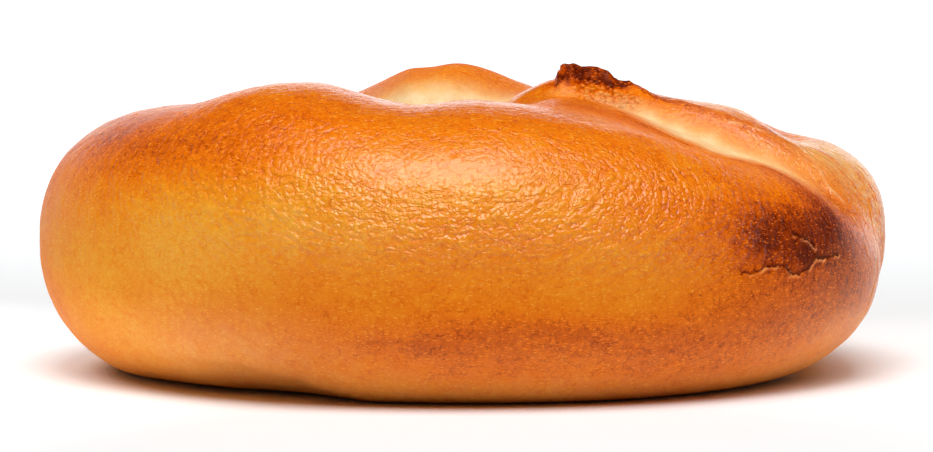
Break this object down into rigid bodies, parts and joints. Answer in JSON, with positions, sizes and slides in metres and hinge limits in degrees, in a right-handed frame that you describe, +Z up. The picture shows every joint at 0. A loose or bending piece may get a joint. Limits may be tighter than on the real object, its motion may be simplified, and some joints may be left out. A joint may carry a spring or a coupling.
{
  "type": "bagel",
  "caption": "Plain glossy bagel: an uneven ring of baked dough with a small hole, lapped and torn ends at one side and a flat sole.",
  "frame": {"origin": "middle of the bagel's footprint, on the surface it lies on", "axes": "+Z up through the ring, +X towards the side where the ends of the dough are lapped, +Y away from the thick near side"},
  "size_m": [0.1058, 0.103, 0.0385],
  "materials": {
    "crust": "satin"
  },
  "bodies": {
    "root": {"bagel": "crust"}
  },
  "joints": []
}
